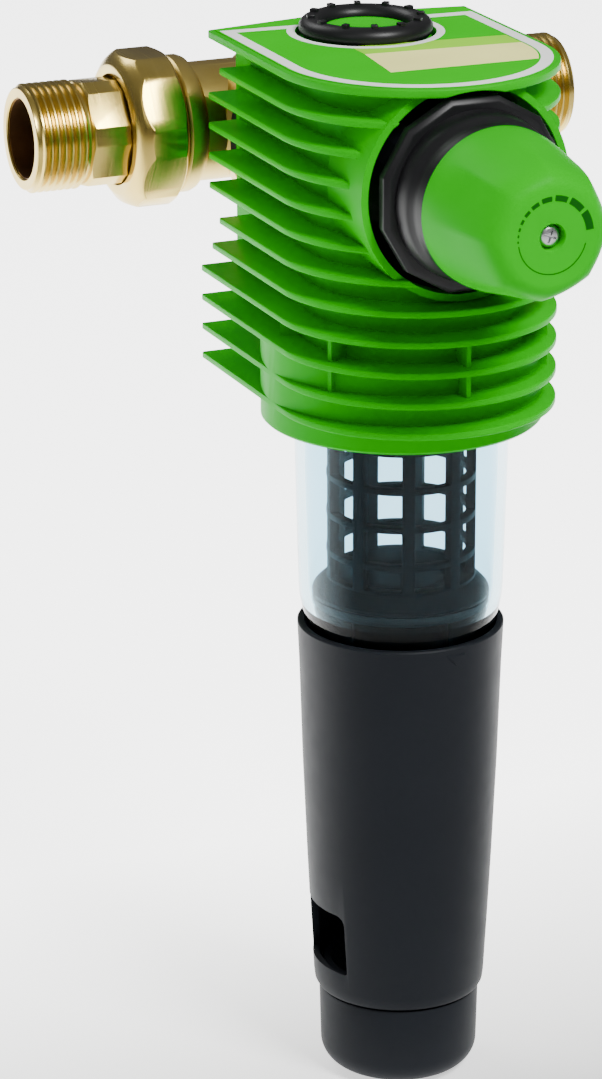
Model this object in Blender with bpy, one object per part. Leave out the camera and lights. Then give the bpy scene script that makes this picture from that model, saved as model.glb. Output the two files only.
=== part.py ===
"""Backwash water filter with pressure reducer, for the incoming pipe of a house.

+X runs along the pipe, +Y to the wall behind, +Z up. The origin is on the pipe axis, midway
between the ends of the two union tails. Lengths are written in millimetres and built in metres.
"""

import math

import bmesh
import bpy
from mathutils import Matrix

MM = 0.001
GAP = 0.3  # clearance between separate pieces
WELD = 0.004  # points nearer than this are one point

BOWL_Y = -83.75  # the vertical axis of hood, cup and bell
REDUCER_Z = 5.0  # the reducer's axis, parallel to Y
ROUND = 24  # sides of a large round piece
SMALL = 16  # sides of a small round piece

# Hood: a U-shaped green shell with a stack of cooling-fin-like ribs.
HOOD_HALF = 43.0
HOOD_NOSE_Y = BOWL_Y - 8.6  # centre of the round front
HOOD_WALL_HALF = 33.0
HOOD_WALL = 2.5
PLATE_TOP = 37.2
PLATE_THICK = 2.6
FIN_PITCH = 9.37
FIN_THICK = 2.1
FIN_COUNT = 11
FIN_REAR = (-44.0, -35.0, -35.0, -35.0, -35.0, -43.0, -37.0, -28.0, -28.0, -28.0, -28.0)
PLATE_REAR = -35.0
REAR_PEAK = 7.0  # how far the rear edge stands out at the middle
COLLAR_R = 43.0
COLLAR_TOP = -48.6
COLLAR_LOW = -75.5
COLLAR_BORE = 37.4
HOOD_HOLE_R = 31.2
BOSS_R = 33.4
BOSS_FRONT = 44.6

# Month ring on the top plate.
RING_Y = -56.2
RING_Z = 38.9
RING_R = 16.8
RING_HALF_W = 3.6
RING_HALF_H = 3.3
RING_MARKS = 12
POCKET_R = 21.2
POCKET_FLOOR = 35.2

# Connection flange, unions and pipe threads.
DISC_R = 30.6
DISC_FRONT = -19.2
DISC_BACK = -9.4
HUB_R = 22.0
HUB_BACK = 17.0
NECK_R = 18.7
HEAD_FLANGE_R = 30.6
PORT_END = 50.0
PORT_THREAD_R = 20.6
PIPE_BORE = 12.6
DUCT_X = 16.5
DUCT_R = 4.5
TAIL_END = 91.45
TAIL_THREAD_R = 17.0
TAIL_HEX_R = 17.2
NUT_BACK = 44.2
NUT_FACE = 61.0
NUT_CORNER_R = 24.9
NUT_CORNER_DEG = 20.0  # width of the small flat on each corner of the hexagon
THREAD_PITCH = 2.31
BOLT_X = 14.0
BOLT_Z = 22.6

# Reducer, measured forward from the bowl axis.
BARREL_R = 25.0
BARREL_FRONT = 44.5
SEAT_FLOOR = 26.5  # floor of the chamber that the valve seat lies on
BONNET_BACK = 46.6
BONNET_BASE = 51.0
BONNET_FRONT = 65.0
BONNET_CORNER_R = 29.8
KNOB_BACK = 65.4
KNOB_TIP = 101.3
KNOB_FACETS = 8
SPINDLE_R = 3.4

# Cup, filter element and drain.
CUP_WALL = 3.0
CUP_PROFILE = ((33.7, -58.8), (33.7, -62.3), (32.95, -62.6), (31.5, -132.0),
               (28.4, -143.0), (22.0, -154.5), (14.0, -163.0), (14.0, -178.0))
CAGE_R = 23.0
CAGE_WALL = 3.0
CAGE_TOP = -80.5
CAGE_LOW = -126.9
CAGE_COLUMNS = 9
CAGE_ROWS = 4
CAGE_TURN = math.radians(-8.6)  # direction of the middle of one column of windows
COLUMN_STEPS = 4  # facets in a column: one of rib, the others of window
ROW_TOP = -82.6  # upper edge of the highest row of windows
ROW_FLOOR = -126.0  # the lowest row is cut short here, by the flange
ROW_PITCH = 12.2
ROW_OPEN = 10.2
BELL_PROFILE = ((32.0, -142.0), (31.4, -155.5), (30.4, -187.5), (29.0, -220.0),
                (26.9, -260.0), (26.2, -264.0))
BELL_WALL = 2.2
WEB_TOP = -205.0
WEB_LOW = -209.0
WINDOW_TOP = -234.0
WINDOW_LOW = -254.0
WINDOW_HALF_DEG = 29.0
FOOT_R = 25.2
FOOT_LOW = -291.4

GREEN = ("green_plastic", (0.045, 0.42, 0.012), 0.38, 0.0)
BLACK = ("black_plastic", (0.022, 0.023, 0.026), 0.36, 0.0)
BRASS = ("brass", (0.70, 0.50, 0.22), 0.28, 1.0)
STEEL = ("steel", (0.60, 0.60, 0.62), 0.30, 1.0)
RUBBER = ("rubber", (0.018, 0.018, 0.019), 0.70, 0.0)
CLEAR = ("clear_cup", (0.80, 0.90, 0.95), 0.05, 0.0)
LABEL = ("label", (0.92, 0.94, 0.88), 0.40, 0.0)
CERAMIC = ("ceramic", (0.85, 0.85, 0.82), 0.20, 0.0)


def material(spec):
    """The Principled material of this name, made on first use."""
    name, colour, roughness, metallic = spec
    found = bpy.data.materials.get(name)
    if found:
        return found
    made = bpy.data.materials.new(name)
    made.use_nodes = True
    shader = made.node_tree.nodes["Principled BSDF"]
    shader.inputs["Base Color"].default_value = (*colour, 1.0)
    shader.inputs["Roughness"].default_value = roughness
    shader.inputs["Metallic"].default_value = metallic
    return made


def to_world(axis, radius, angle, along):
    """A point at this radius and angle round an axis, this far along it, in millimetres."""
    a = radius * math.cos(angle)
    b = radius * math.sin(angle)
    return {"X": (along, a, b), "Y": (b, along, a), "Z": (a, b, along)}[axis]


def finish(name, mesh_data, spec, origin):
    """An object from a bmesh in millimetres about `origin`, with its faces turned outward."""
    bmesh.ops.recalc_face_normals(mesh_data, faces=mesh_data.faces)
    mesh = bpy.data.meshes.new(name)
    mesh_data.to_mesh(mesh)
    mesh_data.free()
    obj = bpy.data.objects.new(name, mesh)
    obj.location = origin
    obj.data.materials.append(material(spec))
    bpy.context.scene.collection.objects.link(obj)
    return obj


def lathe(name, profile, axis, spec, origin=(0, 0, 0), sides=ROUND, closed=False, turn=0.0):
    """A solid of revolution from (radius, along) points.

    An open profile starts and ends on the axis, or is capped flat there. A closed one is a ring.
    """
    points = list(profile)
    if not closed:
        if points[0][0] > 0:
            points.insert(0, (0.0, points[0][1]))
        if points[-1][0] > 0:
            points.append((0.0, points[-1][1]))
    shape = bmesh.new()
    rings = []
    for radius, along in points:
        if radius == 0:
            rings.append([shape.verts.new(to_world(axis, 0, 0, along))])
            continue
        angles = [turn + math.tau * i / sides for i in range(sides)]
        rings.append([shape.verts.new(to_world(axis, radius, a, along)) for a in angles])
    pairs = list(zip(rings, rings[1:]))
    if closed:
        pairs.append((rings[-1], rings[0]))
    for low, high in pairs:
        for i in range(sides):
            corners = [low[i % len(low)], low[(i + 1) % len(low)],
                       high[(i + 1) % len(high)], high[i % len(high)]]
            unique = list(dict.fromkeys(corners))
            if len(unique) > 2:
                shape.faces.new(unique)
    return finish(name, shape, spec, origin)


def tube(name, outer, inner, low, high, axis, spec, origin=(0, 0, 0), sides=ROUND):
    """A plain ring with square edges."""
    profile = [(outer, low), (outer, high), (inner, high), (inner, low)]
    return lathe(name, profile, axis, spec, origin, sides, closed=True)


def prism(name, outline, low, high, spec, origin=(0, 0, 0)):
    """An upright block with this outline."""
    shape = bmesh.new()
    bottom = [shape.verts.new((x, y, low)) for x, y in outline]
    top = [shape.verts.new((x, y, high)) for x, y in outline]
    shape.faces.new(bottom)
    shape.faces.new(top)
    for i in range(len(outline)):
        j = (i + 1) % len(outline)
        shape.faces.new((bottom[i], bottom[j], top[j], top[i]))
    return finish(name, shape, spec, origin)


def box(name, low, high, spec=BLACK):
    """A block between two corners."""
    outline = [(low[0], low[1]), (high[0], low[1]), (high[0], high[1]), (low[0], high[1])]
    return prism(name, outline, low[2], high[2], spec)


def combine(target, others, operation):
    """Unites `target` with the others, or cuts them from it, and removes them."""
    for other in others:
        modifier = target.modifiers.new("combine", "BOOLEAN")
        modifier.operation = operation
        modifier.solver = "EXACT"
        modifier.object = other
        bpy.context.view_layer.update()
        graph = bpy.context.evaluated_depsgraph_get()
        mesh = bpy.data.meshes.new_from_object(target.evaluated_get(graph))
        target.modifiers.clear()
        target.data = mesh
        bpy.data.objects.remove(other, do_unlink=True)
    clean(target.data)
    keep = target.data.materials[0]
    target.data.materials.clear()
    target.data.materials.append(keep)
    for face in target.data.polygons:
        face.material_index = 0
    return target


def clean(mesh):
    """Welds the slivers that a Boolean leaves, and splits its many-sided faces."""
    shape = bmesh.new()
    shape.from_mesh(mesh)
    bmesh.ops.remove_doubles(shape, verts=shape.verts, dist=WELD)
    bmesh.ops.dissolve_degenerate(shape, edges=shape.edges, dist=WELD)
    flat = math.radians(0.05)
    bmesh.ops.dissolve_limit(shape, angle_limit=flat, verts=shape.verts, edges=shape.edges)
    bmesh.ops.triangulate(shape, faces=shape.faces)
    shape.to_mesh(mesh)
    shape.free()


def rod(radius, low, high, axis, origin=(0, 0, 0), sides=SMALL):
    """A helper cylinder for a cut or a union."""
    turn = 0.37 * math.tau / sides
    return lathe("helper", [(radius, low), (radius, high)], axis, BLACK, origin, sides, turn=turn)


def smooth(obj, degrees=35):
    """Rounds the shading and keeps edges sharper than this angle crisp."""
    mesh = obj.data
    mesh.shade_smooth()
    mesh.set_sharp_from_angle(angle=math.radians(degrees))
    return obj


def u_outline(half, nose_y, rear_y, peak, steps=18):
    """A U in plan: round at the front, straight sides, and a shallow peaked rear edge."""
    points = []
    for i in range(steps + 1):
        angle = math.pi + math.pi * i / steps
        points.append((half * math.cos(angle), nose_y + half * math.sin(angle)))
    points.append((half, rear_y))
    points.append((0.0, rear_y + peak))
    points.append((-half, rear_y))
    return points


def hood():
    """The green shell: top plate, ribs, inner wall, collar, and a pocket for the month ring."""
    plate = u_outline(HOOD_HALF, HOOD_NOSE_Y, PLATE_REAR, REAR_PEAK)
    body = prism("hood", plate, PLATE_TOP - PLATE_THICK, PLATE_TOP, GREEN)
    outer = u_outline(HOOD_WALL_HALF, HOOD_NOSE_Y, -33.0, 0.0)
    parts = [prism("wall", outer, COLLAR_TOP, PLATE_TOP - 1.0, GREEN)]
    for i in range(FIN_COUNT):
        low = PLATE_TOP - PLATE_THICK - FIN_PITCH * (i + 1)
        fin = u_outline(HOOD_HALF, HOOD_NOSE_Y, FIN_REAR[i], 0.0)
        parts.append(prism("fin", fin, low, low + FIN_THICK, GREEN))
    collar = [(COLLAR_R, COLLAR_TOP), (COLLAR_R, COLLAR_LOW)]
    parts.append(lathe("collar", collar, "Z", GREEN, (0, BOWL_Y, 0)))
    parts.append(rod(POCKET_R + 2.0, POCKET_FLOOR - 2.2, PLATE_TOP - 1, "Z", (0, RING_Y, 0), ROUND))
    reducer = (0, 0, REDUCER_Z)
    parts.append(rod(BOSS_R, BOWL_Y - BOSS_FRONT, BOWL_Y - 20, "Y", reducer, ROUND))
    combine(body, parts, "UNION")
    inner_half = HOOD_WALL_HALF - HOOD_WALL
    hollow = u_outline(inner_half, HOOD_NOSE_Y, -10.0, 0.0)
    cuts = [
        prism("hollow", hollow, COLLAR_TOP - 5, POCKET_FLOOR - 2.2, GREEN),
        rod(COLLAR_BORE, COLLAR_LOW - 1, COLLAR_TOP - 3.5, "Z", (0, BOWL_Y, 0), ROUND),
        rod(POCKET_R, POCKET_FLOOR, PLATE_TOP + 1, "Z", (0, RING_Y, 0), ROUND),
        rod(HOOD_HOLE_R, BOWL_Y - 60, BOWL_Y, "Y", reducer, ROUND),
        box("above", (-60, BOWL_Y - 60, PLATE_TOP), (60, 0, PLATE_TOP + 10)),
    ]
    return smooth(combine(body, cuts, "DIFFERENCE"), 30)


def top_label():
    """The printed sheet on the top plate, cut round the month ring."""
    outline = u_outline(HOOD_HALF - 1.6, HOOD_NOSE_Y, PLATE_REAR - 1.2, REAR_PEAK - 1.0)
    sheet = prism("top_label", outline, PLATE_TOP + 0.05, PLATE_TOP + 0.35, LABEL)
    return combine(sheet, [rod(POCKET_R + 0.6, 30, 50, "Z", (0, RING_Y, 0), ROUND)], "DIFFERENCE")


def month_ring():
    """The black reminder ring, with a raised mark for each month."""
    profile = []
    for i in range(8):
        angle = math.tau * i / 8
        profile.append((RING_R + RING_HALF_W * math.cos(angle), RING_HALF_H * math.sin(angle)))
    ring = lathe("month_ring", profile, "Z", BLACK, (0, RING_Y, RING_Z), closed=True)
    marks = []
    for i in range(RING_MARKS):
        mark = box("mark", (RING_R - 1.2, -1.0, 1.0), (RING_R + 1.2, 1.0, RING_HALF_H + 0.8))
        turn = Matrix.Rotation(math.tau * (i + 0.5) / RING_MARKS, 4, "Z")
        mark.matrix_world = Matrix.Translation((0, RING_Y, RING_Z)) @ turn
        marks.append(mark)
    return smooth(combine(ring, marks, "UNION"), 40)


def ring_hub():
    """The green hub that the month ring turns on."""
    profile = [(12.7, POCKET_FLOOR + GAP), (12.7, 38.6), (12.2, 39.1), (11.4, 38.9), (8.0, 37.4),
               (4.0, 37.0)]
    return smooth(lathe("ring_hub", profile, "Z", GREEN, (0, RING_Y, 0)))


def thread_profile(start, end, crest, depth, step):
    """Zigzag (radius, along) points from start to end, one tooth per step."""
    count = max(1, round(abs(end - start) / step))
    pitch = (end - start) / count
    points = []
    for i in range(count):
        points.append((crest - depth, start + pitch * i))
        points.append((crest, start + pitch * (i + 0.5)))
    points.append((crest - depth, end))
    return points


def connection_flange():
    """The brass body in the pipe: a disc, a hub behind it and a threaded port on each side."""
    hub = [(DISC_R - 1.0, DISC_FRONT), (DISC_R, DISC_FRONT + 1.0), (DISC_R, DISC_BACK - 1.0),
           (DISC_R - 1.0, DISC_BACK), (HUB_R, DISC_BACK), (HUB_R, HUB_BACK - 3.0),
           (HUB_R - 3.0, HUB_BACK)]
    body = lathe("connection_flange", hub, "Y", BRASS)
    half = [(NECK_R, 0.0), (NECK_R, 36.6), (21.0, 37.4), (21.6, 39.0), (21.6, 42.6), (19.2, 43.6)]
    half += thread_profile(44.6, PORT_END - 1.2, PORT_THREAD_R, 1.2, THREAD_PITCH)
    half.append((19.2, PORT_END))
    mirrored = [(r, -x) for r, x in reversed(half[1:])]
    ports = lathe("ports", mirrored + half, "X", BRASS, sides=24)
    combine(body, [ports], "UNION")
    cuts = []
    for side in (-1, 1):
        ends = sorted((side * 6.0, side * (PORT_END + 1)))
        cuts.append(rod(PIPE_BORE, ends[0], ends[1], "X", sides=20))
        cuts.append(rod(DUCT_R, DISC_FRONT - 1, 0, "Y", (side * DUCT_X, 0, 0), 16))
        for up in (-1, 1):
            at = (side * BOLT_X, 0, up * BOLT_Z)
            cuts.append(rod(2.5, DISC_FRONT - 1, DISC_BACK + 0.5, "Y", at, 12))
            cuts.append(rod(4.2, DISC_BACK - 0.6, 2, "Y", at, 12))
    return smooth(combine(body, cuts, "DIFFERENCE"))


def flange_bolts():
    """Four socket-head screws from behind, through the disc and into the head."""
    made = []
    for i, (side, up) in enumerate(((-1, 1), (1, 1), (1, -1), (-1, -1))):
        seat = DISC_BACK - 0.6 + GAP
        profile = [(2.1, -30.0), (2.1, seat), (3.8, seat), (3.8, seat + 3.6), (1.8, seat + 3.6),
                   (1.8, seat + 1.6)]
        at = (side * BOLT_X, 0, up * BOLT_Z)
        made.append(smooth(lathe(f"flange_bolt_{i + 1}", profile, "Y", STEEL, at, 12)))
    return made


def flange_gasket():
    """The flat seal between flange and head, with one hole for each water way."""
    sheet = lathe("flange_gasket", [(23.4, DISC_FRONT - 2.0), (23.4, DISC_FRONT - GAP)], "Y",
                  RUBBER)
    holes = [rod(DUCT_R + 0.5, -25, -15, "Y", (side * DUCT_X, 0, 0), 16) for side in (-1, 1)]
    return combine(sheet, holes, "DIFFERENCE")


def hex_bar(low, high, radius):
    """A helper hexagonal bar along X, with a small flat on each corner and a flat on top."""
    half = math.radians(NUT_CORNER_DEG / 2)
    angles = [math.tau * i / 6 + lean for i in range(6) for lean in (-half, half)]
    outline = [(radius * math.cos(a), radius * math.sin(a)) for a in angles]
    shape = bmesh.new()
    near = [shape.verts.new((low, a, b)) for a, b in outline]
    far = [shape.verts.new((high, a, b)) for a, b in outline]
    shape.faces.new(near)
    shape.faces.new(far)
    for i in range(len(outline)):
        j = (i + 1) % len(outline)
        shape.faces.new((near[i], near[j], far[j], far[i]))
    return finish("hex", shape, BRASS, (0, 0, 0))


def union_nut(name, side):
    """A hexagonal union nut with a cone towards the tail."""
    blank = [(23.0, NUT_BACK), (NUT_CORNER_R + 0.3, NUT_BACK + 1.4),
             (NUT_CORNER_R + 0.3, NUT_FACE - 5.0), (20.1, NUT_FACE)]
    nut = lathe(name, [(r, side * x) for r, x in blank], "X", BRASS, sides=24)
    ends = sorted((side * (NUT_BACK - 2), side * (NUT_FACE + 2)))
    combine(nut, [hex_bar(ends[0], ends[1], NUT_CORNER_R)], "INTERSECT")
    bore = [(21.3, NUT_BACK - 2), (21.3, 56.9), (17.8, 56.9), (17.8, NUT_FACE + 1)]
    cut = lathe("cut", [(r, side * x) for r, x in bore], "X", BRASS, sides=24)
    return smooth(combine(nut, [cut], "DIFFERENCE"))


def union_tail(name, side):
    """A tail with a collar inside the nut, a hexagon, and a male pipe thread."""
    outer = [(20.4, 52.6), (20.4, 56.6), (TAIL_HEX_R, 56.6), (TAIL_HEX_R - 0.3, 61.5),
             (TAIL_HEX_R - 0.3, 72.0), (15.8, 73.4)]
    outer += thread_profile(73.8, TAIL_END - 0.8, TAIL_THREAD_R, 1.3, THREAD_PITCH * 1.5)
    outer += [(15.9, TAIL_END), (PIPE_BORE, TAIL_END), (PIPE_BORE, 52.6)]
    return smooth(lathe(name, [(r, side * x) for r, x in outer], "X", BRASS, sides=28, closed=True))


def union_gasket(name, side):
    """The flat ring that the nut squeezes between port and tail."""
    ends = sorted((side * (PORT_END + GAP), side * 52.3))
    return tube(name, 18.8, 13.0, ends[0], ends[1], "X", RUBBER, sides=24)


def head_body():
    """The moulded head behind the hood: bowl socket, reducer chamber and rear flange."""
    bowl = (0, BOWL_Y, 0)
    front = (0, 0, REDUCER_Z)
    column = [(25.5, -72.0), (28.0, -71.0), (28.0, -66.8), (26.4, -66.8), (26.4, -63.6),
              (28.0, -63.6), (28.0, -58.5), (33.6, -58.5), (33.6, -52.8), (28.5, -52.8),
              (28.5, 22.0)]
    body = lathe("head_body", column, "Z", BLACK, bowl)
    parts = [
        rod(BARREL_R, BOWL_Y - BARREL_FRONT, BOWL_Y + 5, "Y", front, ROUND),
        rod(27.6, BOWL_Y, DISC_FRONT - 2.3, "Y", sides=ROUND),
        rod(HEAD_FLANGE_R, DISC_FRONT - 10.5, DISC_FRONT - 2.3, "Y", sides=ROUND),
    ]
    combine(body, parts, "UNION")
    cuts = [
        rod(17.5, -80, -62, "Z", bowl, 32),
        rod(8.0, -70, REDUCER_Z, "Z", bowl),
        rod(10.5, BOWL_Y - 40, BOWL_Y + 12, "Y", front),
        rod(21.0, BOWL_Y - 50, BOWL_Y - SEAT_FLOOR, "Y", front, ROUND),
        rod(DUCT_R, BOWL_Y + 14, 0, "Y", (-DUCT_X, 0, 0), 16),
        rod(3.2, -80, 0, "Z", (-DUCT_X, BOWL_Y + 15.75, 0), 12),
        rod(DUCT_R, BOWL_Y - 33, 0, "Y", (DUCT_X, 0, 0), 16),
    ]
    for side in (-1, 1):
        for up in (-1, 1):
            at = (side * BOLT_X, 0, up * BOLT_Z)
            cuts.append(rod(2.4, DISC_FRONT - 14, 0, "Y", at, 12))
    return smooth(combine(body, cuts, "DIFFERENCE"))


def forward(points):
    """(radius, distance ahead of the bowl axis) points, as points along Y."""
    return [(radius, BOWL_Y - ahead) for radius, ahead in points]


def reducer_bonnet():
    """The black spring housing: a twelve-sided base and a round neck."""
    at = (0, 0, REDUCER_Z)
    base = forward([(BONNET_CORNER_R, BONNET_BACK), (BONNET_CORNER_R, BONNET_BASE - 1.2),
                    (BONNET_CORNER_R - 1.6, BONNET_BASE)])
    body = lathe("reducer_bonnet", base, "Y", BLACK, at, 12, turn=math.radians(15))
    neck = forward([(25.6, BONNET_BASE - 2), (25.0, 57.0), (23.2, 60.0), (23.2, BONNET_FRONT)])
    combine(body, [lathe("neck", neck, "Y", BLACK, at)], "UNION")
    cuts = [
        rod(20.0, BOWL_Y - 62.5, BOWL_Y - 40, "Y", at),
        rod(SPINDLE_R + GAP, BOWL_Y - 70, BOWL_Y - 55, "Y", at, 20),
    ]
    return smooth(combine(body, cuts, "DIFFERENCE"))


def facet_radius(angle, radius, share):
    """A radius between a circle and an octagon that touches it at the corners."""
    sector = math.tau / KNOB_FACETS
    offset = (angle + sector / 2) % sector - sector / 2
    flat = radius * math.cos(sector / 2) / math.cos(sector / 2 - abs(offset))
    return radius + (flat - radius) * share


def adjusting_knob():
    """The green pressure knob: round at its base, with facets that grow towards the tip."""
    rings = [(24.1, KNOB_BACK, 0.0), (24.1, 68.5, 0.0), (23.4, 74.0, 0.25), (22.4, 82.0, 0.8),
             (21.2, 91.0, 1.0), (19.4, 97.0, 1.0), (16.6, 100.2, 0.7), (14.4, KNOB_TIP, 0.0)]
    shape = bmesh.new()
    loops = []
    for radius, ahead, share in rings:
        loop = []
        for i in range(ROUND):
            angle = math.tau * i / ROUND
            r = facet_radius(angle, radius, share)
            loop.append(shape.verts.new(to_world("Y", r, angle, -ahead)))
        loops.append(loop)
    for low, high in zip(loops, loops[1:]):
        for i in range(ROUND):
            j = (i + 1) % ROUND
            shape.faces.new((low[i], low[j], high[j], high[i]))
    shape.faces.new(loops[0])
    shape.faces.new(loops[-1])
    at = (0, BOWL_Y, REDUCER_Z)
    knob = finish("adjusting_knob", shape, GREEN, at)
    bore = [(20.5, -60.0), (20.5, -70.0), (SPINDLE_R + 0.1, -70.0), (SPINDLE_R + 0.1, -90.2),
            (2.2, -90.2), (2.2, -97.6), (3.9, -97.6), (3.9, -105.0)]
    return smooth(combine(knob, [lathe("bore", bore, "Y", GREEN, at, 24)], "DIFFERENCE"))


def knob_screw():
    """The cross-recessed screw that holds the knob on its spindle."""
    at = (0, BOWL_Y, REDUCER_Z)
    profile = [(1.2, -88.6), (1.2, -97.9), (3.3, -97.9), (3.3, -99.2), (2.4, -100.0)]
    screw = lathe("knob_screw", profile, "Y", STEEL, at, 20)
    slots = [
        box("slot", (-2.0, -101.0, -0.35), (2.0, -99.1, 0.35)),
        box("slot", (-0.35, -101.0, -2.0), (0.35, -99.1, 2.0)),
    ]
    for slot in slots:
        slot.location = at
    return smooth(combine(screw, slots, "DIFFERENCE"))


def adjusting_spindle():
    """The brass screw behind the knob, with a blind hole for the knob's screw."""
    at = (0, BOWL_Y, REDUCER_Z)
    profile = [(4.2, -53.0), (4.2, -62.1), (SPINDLE_R, -62.1), (SPINDLE_R, -89.9), (1.5, -89.9),
               (1.5, -84.0)]
    return smooth(lathe("adjusting_spindle", profile, "Y", BRASS, at, 20))


def spring_plate():
    """The plate that the spindle drives along to load the spring."""
    at = (0, BOWL_Y, REDUCER_Z)
    return tube("spring_plate", 19.4, 4.25, -61.9, -59.4, "Y", BRASS, at)


def reducer_spring():
    """The coil spring, at its shortest length."""
    wire, radius, turns, steps, sides = 1.0, 14.0, 1.4, 20, 6
    start, length = -50.4, -2.9
    shape = bmesh.new()
    rings = []
    total = int(turns * steps)
    for i in range(total + 1):
        angle = math.tau * i / steps
        centre_y = start + length * i / total
        ring = []
        for k in range(sides):
            around = math.tau * k / sides
            r = radius + wire * math.cos(around)
            y = centre_y + wire * math.sin(around)
            ring.append(shape.verts.new((r * math.sin(angle), y, r * math.cos(angle))))
        rings.append(ring)
    for low, high in zip(rings, rings[1:]):
        for k in range(sides):
            j = (k + 1) % sides
            shape.faces.new((low[k], low[j], high[j], high[k]))
    shape.faces.new(rings[0])
    shape.faces.new(rings[-1])
    return smooth(finish("reducer_spring", shape, STEEL, (0, BOWL_Y, REDUCER_Z)), 60)


def reducer_internals():
    """Diaphragm, its plate, the valve stem, the seat and the seat's seal."""
    at = (0, BOWL_Y, REDUCER_Z)
    seat = [(20.7, -26.8), (20.7, -30.0), (7.0, -30.0), (7.0, -26.8)]
    stem = [(9.2, -22.0), (9.2, -25.0), (2.9, -25.6), (2.9, -48.9)]
    return [
        tube("diaphragm", BARREL_R, 3.4, -46.3, -44.8, "Y", RUBBER, at),
        tube("diaphragm_plate", 17.0, 3.2, -49.0, -46.6, "Y", BRASS, at),
        smooth(lathe("valve_seat", seat, "Y", BRASS, at, closed=True)),
        smooth(lathe("valve_stem", stem, "Y", BRASS, at, 20)),
        tube("seat_seal", 20.5, 18.0, -32.1, -30.3, "Y", RUBBER, at),
    ]


def clear_cup():
    """The clear cup: flanged rim, slightly tapered wall, domed floor and drain neck."""
    inner = [(10.5, -178.0), (10.5, -164.5), (19.6, -152.5), (25.6, -141.5),
             (28.4, -132.0), (29.7, -85.0), (29.7, -58.8)]
    return smooth(lathe("clear_cup", list(CUP_PROFILE) + inner, "Z", CLEAR, (0, BOWL_Y, 0),
                        closed=True), 50)


def cup_nut():
    """The ring nut that holds the cup's rim against the head."""
    profile = [(36.8, -53.1), (36.8, -66.0), (33.3, -66.0), (33.3, -62.7), (34.0, -62.7),
               (34.0, -53.1)]
    return smooth(lathe("cup_nut", profile, "Z", BLACK, (0, BOWL_Y, 0), closed=True))


def cup_seal():
    """The O-ring in the head's groove, against the inside of the cup."""
    return tube("cup_seal", 29.4, 26.8, -66.5, -63.9, "Z", RUBBER, (0, BOWL_Y, 0))


def filter_cage():
    """The black cage: a neck, a shoulder, rows of windows all round, and a wide lower flange."""
    columns = CAGE_COLUMNS * COLUMN_STEPS
    heights = [CAGE_LOW]
    for row in reversed(range(CAGE_ROWS)):
        top = ROW_TOP - ROW_PITCH * row
        heights += [max(top - ROW_OPEN, ROW_FLOOR), top]
    heights.append(CAGE_TOP)
    inner_r = CAGE_R - CAGE_WALL
    neck = [(CAGE_R, CAGE_TOP), (17.1, CAGE_TOP + 1.2), (17.1, -63.0), (14.6, -63.0),
            (14.6, CAGE_TOP + 1.0), (inner_r, CAGE_TOP)]
    foot = [(inner_r, CAGE_LOW), (13.0, -128.2), (13.0, -156.0), (15.0, -156.0), (15.0, -132.0),
            (27.5, -132.0), (27.5, -130.9), (CAGE_R, CAGE_LOW)]
    shape = bmesh.new()
    first = CAGE_TURN - math.tau / columns * (COLUMN_STEPS - 1) / 2
    angles = [first + math.tau * i / columns for i in range(columns)]

    def ring(radius, z):
        return [shape.verts.new(to_world("Z", radius, a, z)) for a in angles]

    def strip(low, high):
        for i in range(columns):
            j = (i + 1) % columns
            shape.faces.new((low[i], low[j], high[j], high[i]))

    outer = [ring(CAGE_R, z) for z in heights]
    inner = [ring(inner_r, z) for z in heights]
    for chain, ends in ((neck, (outer[-1], inner[-1])), (foot, (inner[0], outer[0]))):
        rings = [ends[0]] + [ring(r, z) for r, z in chain[1:-1]] + [ends[1]]
        for low, high in zip(rings, rings[1:]):
            strip(low, high)

    def is_open(row, i):
        return row % 2 == 1 and i % COLUMN_STEPS != COLUMN_STEPS - 1

    for row in range(len(heights) - 1):
        for i in range(columns):
            j = (i + 1) % columns
            if not is_open(row, i):
                shape.faces.new((outer[row][i], outer[row][j], outer[row + 1][j],
                                 outer[row + 1][i]))
                shape.faces.new((inner[row][i], inner[row][j], inner[row + 1][j],
                                 inner[row + 1][i]))
                continue
            shape.faces.new((outer[row][i], outer[row][j], inner[row][j], inner[row][i]))
            shape.faces.new((outer[row + 1][i], outer[row + 1][j], inner[row + 1][j],
                             inner[row + 1][i]))
            for edge, beside in ((i, (i - 1) % columns), (j, j)):
                if not is_open(row, beside):
                    shape.faces.new((outer[row][edge], outer[row + 1][edge],
                                     inner[row + 1][edge], inner[row][edge]))
    return smooth(finish("filter_cage", shape, BLACK, (0, BOWL_Y, 0)), 40)


def filter_parts():
    """The steel mesh inside the cage and the seal under the cage's flange."""
    at = (0, BOWL_Y, 0)
    seal = [(27.7, -132.4), (27.1, -134.6), (25.0, -136.0), (20.0, -136.0), (20.0, -132.4)]
    return [
        smooth(tube("filter_mesh", 19.6, 19.3, -126.0, -81.6, "Z", STEEL, at)),
        smooth(lathe("cage_seal", seal, "Z", RUBBER, at, closed=True)),
    ]


def disc_spindle():
    """The hollow spindle that clamps the two discs together and turns with the bell."""
    profile = [(6.0, -200.5), (6.0, -192.3), (6.9, -192.3), (6.9, -187.0), (5.0, -184.0),
               (5.0, -170.0), (3.0, -170.0), (3.0, -198.0)]
    return smooth(lathe("disc_spindle", profile, "Z", BLACK, (0, BOWL_Y, 0), 20))


def drain_body():
    """The valve housing that screws on to the cup's drain neck."""
    profile = [(17.0, -165.0), (17.0, -201.0), (14.6, -201.0), (14.6, -192.4), (12.8, -192.4),
               (12.8, -178.4), (14.3, -178.4), (14.3, -165.0)]
    return smooth(lathe("drain_body", profile, "Z", BLACK, (0, BOWL_Y, 0), closed=True))


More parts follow.
